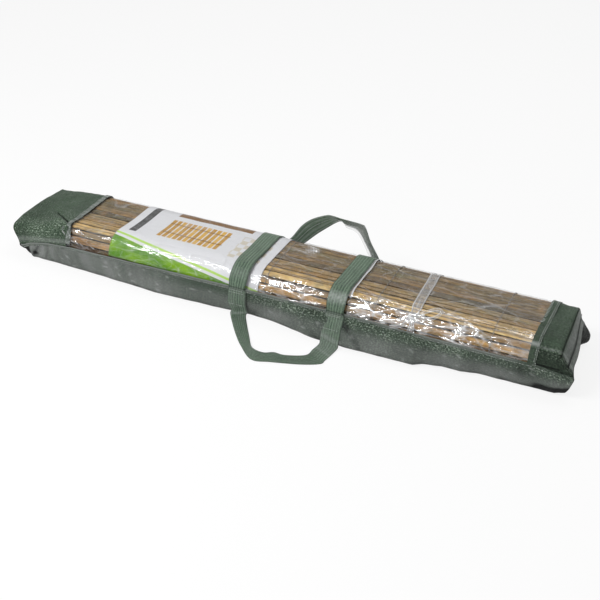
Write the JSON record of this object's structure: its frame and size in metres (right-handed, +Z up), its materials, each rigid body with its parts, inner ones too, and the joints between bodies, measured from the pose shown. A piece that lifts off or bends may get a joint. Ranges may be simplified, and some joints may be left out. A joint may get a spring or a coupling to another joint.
{
  "type": "bamboo privacy screen",
  "caption": "Split bamboo privacy screen, rolled flat and packed in a woven carry bag with a clear window and two carrying loops.",
  "frame": {"origin": "middle of the flat underside that the bag lies on", "axes": "+X along the roll, +Y towards the back wall with the standing loop, +Z up"},
  "size_m": [1.19, 0.3236, 0.146],
  "materials": {
    "bamboo": "weathered split bamboo, ochre to grey-brown",
    "wire": "thin dull binding wire",
    "label": "printed sheet",
    "ribbon": "translucent flat tie ribbon",
    "film": "clear crinkled film",
    "woven": "woven tape cloth with a slight sparkle",
    "strap": "woven tape strap"
  },
  "bodies": {
    "root": {"bag_body": "woven", "bag_end_left": "woven", "bag_end_right": "woven", "bag_top_left": "woven", "bag_top_right": "woven", "band_left": "strap", "band_right": "strap", "binding_wire_1": "wire", "binding_wire_2": "wire", "binding_wire_3": "wire", "binding_wire_4": "wire", "handle_front": "strap", "handle_rear": "strap", "label_insert": "label", "slats_turn_1": "bamboo", "slats_turn_2": "bamboo", "slats_turn_3": "bamboo", "slats_turn_4": "bamboo", "slats_turn_5": "bamboo", "slats_turn_6": "bamboo", "slats_turn_7": "bamboo", "slats_turn_8": "bamboo", "slats_turn_9": "bamboo", "tie_ribbon": "ribbon", "window_film": "film"}
  },
  "joints": []
}
